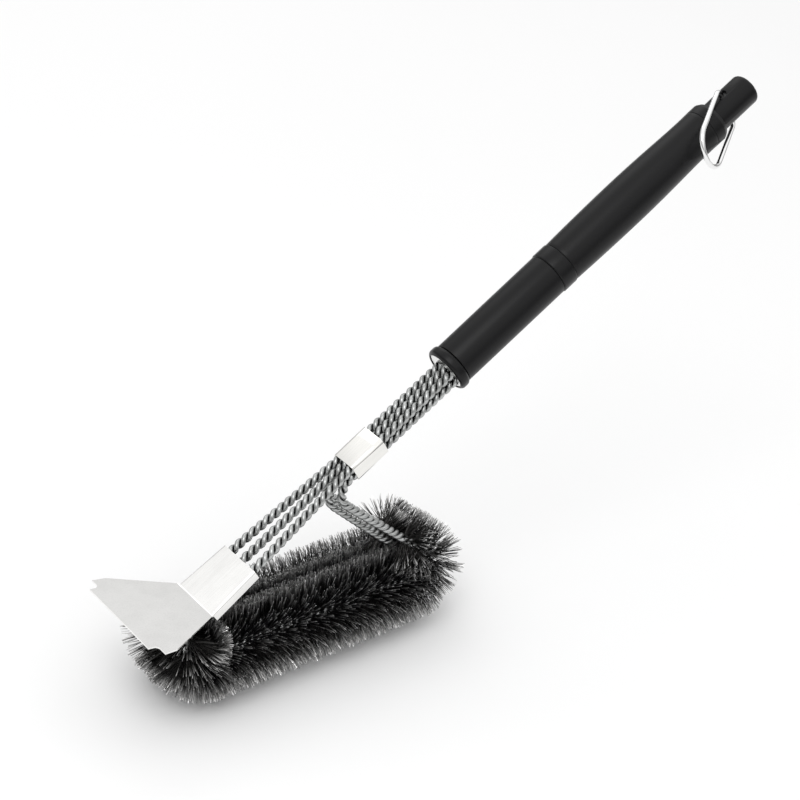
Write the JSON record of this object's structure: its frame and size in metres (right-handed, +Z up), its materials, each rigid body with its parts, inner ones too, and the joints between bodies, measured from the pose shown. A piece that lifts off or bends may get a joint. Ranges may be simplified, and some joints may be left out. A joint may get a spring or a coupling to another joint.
{
  "type": "grill cleaning brush",
  "caption": "Long-handled grill cleaning brush: twisted wire ropes carry a wide wire bristle head, with a flared scraper blade at the front, a round grip and a swinging hanging loop.",
  "frame": {"origin": "under the middle of the whole brush, on the plane the lowest bristle tips stand on", "axes": "+X from the scraper towards the handle, +Y sideways away from the side the loop lies on, +Z up"},
  "size_m": [0.3858, 0.0664, 0.2745],
  "materials": {
    "sheet_steel": "polished",
    "rope_wire": "satin",
    "bristle_wire": "satin",
    "washer_steel": "satin",
    "loop_chrome": "polished",
    "tube_steel": "satin",
    "plug_plastic": "matte",
    "trim_plastic": "satin",
    "grip_plastic": "satin"
  },
  "bodies": {
    "brush": {"scraper": "sheet_steel", "wire_clip": "sheet_steel", "rope_near": "rope_wire", "bristles_near_front": "bristle_wire", "bristles_near_run": "bristle_wire", "bristles_near_rear": "bristle_wire", "rope_middle": "rope_wire", "bristles_middle_front": "bristle_wire", "bristles_middle_run": "bristle_wire", "bristles_middle_rear": "bristle_wire", "rope_far": "rope_wire", "bristles_far_front": "bristle_wire", "bristles_far_run": "bristle_wire", "bristles_far_rear": "bristle_wire", "front_washer": "washer_steel", "front_flange": "trim_plastic", "grip_front": "grip_plastic", "centre_band": "trim_plastic", "grip_rear": "grip_plastic", "shoulder_ring": "trim_plastic", "handle_tube": "tube_steel", "rope_plug": "plug_plastic", "end_cap": "trim_plastic"},
    "hanging_loop": {"hanging_loop": "loop_chrome"}
  },
  "joints": [
    {"name": "loop_swing", "type": "hinge", "parent": "brush", "child": "hanging_loop", "pos_m": [0.17537, 0, 0.25918], "axis": [-0.5326, 0.2079, 0.8204], "range_deg": [0, 300]}
  ]
}
